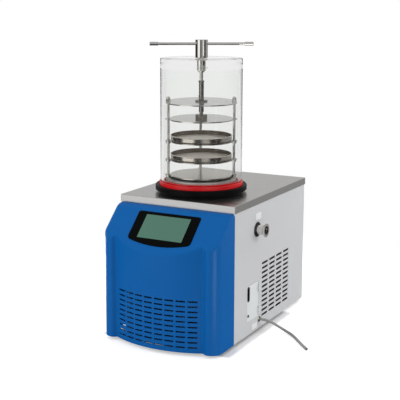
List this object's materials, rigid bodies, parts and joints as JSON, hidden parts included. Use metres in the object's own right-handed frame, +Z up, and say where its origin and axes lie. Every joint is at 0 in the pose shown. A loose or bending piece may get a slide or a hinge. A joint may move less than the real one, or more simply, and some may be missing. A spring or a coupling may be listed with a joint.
{
  "type": "bench-top freeze dryer",
  "caption": "Bench-top freeze dryer: cold-trap cabinet, clear chamber and a rack whose trays are stoppered by a spindle with a T-handle.",
  "frame": {"origin": "on the floor, in the middle of the footprint measured without the drain tube", "axes": "+Z up; the control panel faces -Y; the vacuum port and the drain face +X"},
  "size_m": [0.5579, 0.6446, 0.854],
  "materials": {
    "stainless_brushed": "brushed",
    "stainless_polished": "polished",
    "grey_powder_coat": "satin powder coat",
    "galvanised_steel": "matt",
    "blue_abs": "semi-gloss",
    "black_gloss": "gloss",
    "screen_glass": "gloss",
    "black_plastic": "matt",
    "black_rubber": "matt",
    "red_silicone": "satin",
    "clear_acrylic": "polished, see-through",
    "circuit_board": "solder mask",
    "foam": "cellular",
    "copper": "drawn",
    "brass": "turned",
    "black_enamel": "gloss",
    "aluminium_fins": "mill",
    "clear_tubing": "translucent"
  },
  "bodies": {
    "cabinet": {"base_pan": "galvanised_steel", "rubber_feet": "black_rubber", "right_panel": "grey_powder_coat", "left_panel": "grey_powder_coat", "rear_panel": "grey_powder_coat", "rear_panel_screws": "stainless_polished", "top_cover": "stainless_brushed", "front_moulding": "blue_abs", "screen_bezel": "black_gloss", "touch_panel": "screen_glass", "display_module": "galvanised_steel", "control_board": "circuit_board", "inlet_module": "black_plastic", "door_hinges": "stainless_brushed", "trap_pot": "stainless_brushed", "evaporator_coil": "copper", "trap_insulation": "foam", "trap_flange": "black_plastic", "seal_ring": "red_silicone", "chamber_cylinder": "clear_acrylic", "chamber_lid": "clear_acrylic", "gland_body": "stainless_polished", "gland_nut": "stainless_polished", "gland_o_rings": "black_rubber", "rack_nut": "stainless_polished", "rack_top_plate": "stainless_polished", "shelves": "stainless_polished", "trays": "stainless_brushed", "rack_posts": "stainless_polished", "post_cap_nuts": "stainless_polished", "post_collars": "stainless_polished", "rack_foot_ring": "stainless_polished", "vacuum_port": "stainless_polished", "port_grommet": "black_rubber", "drain_pipe": "stainless_brushed", "drain_valve": "brass", "drain_outlet": "stainless_polished", "drain_tube": "clear_tubing", "condenser_coil": "aluminium_fins", "fan_shroud": "galvanised_steel", "fan_motor": "black_enamel", "compressor": "black_enamel", "compressor_mounts": "black_rubber", "filter_drier": "copper", "high_side_pipes": "copper", "suction_pipe": "copper"},
    "press": {"press_plate": "stainless_polished", "swivel_hub": "stainless_polished"},
    "handle": {"handle_hub": "stainless_polished", "t_bar": "stainless_polished", "bar_grips": "stainless_polished", "spindle_rod": "stainless_polished", "lead_screw": "stainless_polished"},
    "fan": {"fan_blade": "black_plastic", "fan_shaft": "stainless_polished"},
    "door": {"side_door": "grey_powder_coat", "door_pull": "black_plastic"},
    "door_lock": {"door_lock": "stainless_polished"},
    "valve_lever": {"drain_lever": "stainless_brushed"},
    "power_rocker": {"power_rocker": "black_gloss"}
  },
  "joints": [
    {"name": "press_slide", "type": "slide", "parent": "cabinet", "child": "press", "axis": [0, 0, 1], "range_m": [0, 0.0201]},
    {"name": "spindle_turn", "type": "hinge", "parent": "press", "child": "handle", "pos_m": [-0.01375, -0.04035, 0.842], "axis": [0, 0, 1], "range_deg": [0, 1440]},
    {"name": "fan_spin", "type": "hinge", "parent": "cabinet", "child": "fan", "pos_m": [-0.01375, -0.22035, 0.1055], "axis": [0, 1, 0], "continuous": true},
    {"name": "door_hinge", "type": "hinge", "parent": "cabinet", "child": "door", "pos_m": [0.17345, -0.02845, 0.105], "axis": [0, 0, 1], "range_deg": [0, 100]},
    {"name": "door_lock_turn", "type": "hinge", "parent": "door", "child": "door_lock", "pos_m": [0.17075, -0.09685, 0.0675], "axis": [1, 0, 0], "range_deg": [0, 90]},
    {"name": "valve_turn", "type": "hinge", "parent": "cabinet", "child": "valve_lever", "pos_m": [0.11875, -0.02135, 0.056], "axis": [0, 0, 1], "range_deg": [-90, 0]},
    {"name": "rocker_tilt", "type": "hinge", "parent": "cabinet", "child": "power_rocker", "pos_m": [-0.11375, 0.31515, 0.084], "axis": [1, 0, 0], "range_deg": [-14, 0]}
  ],
  "couplings": [
    {"joint": "press_slide", "follows": "spindle_turn", "m_per_rad": 0.00079577}
  ]
}
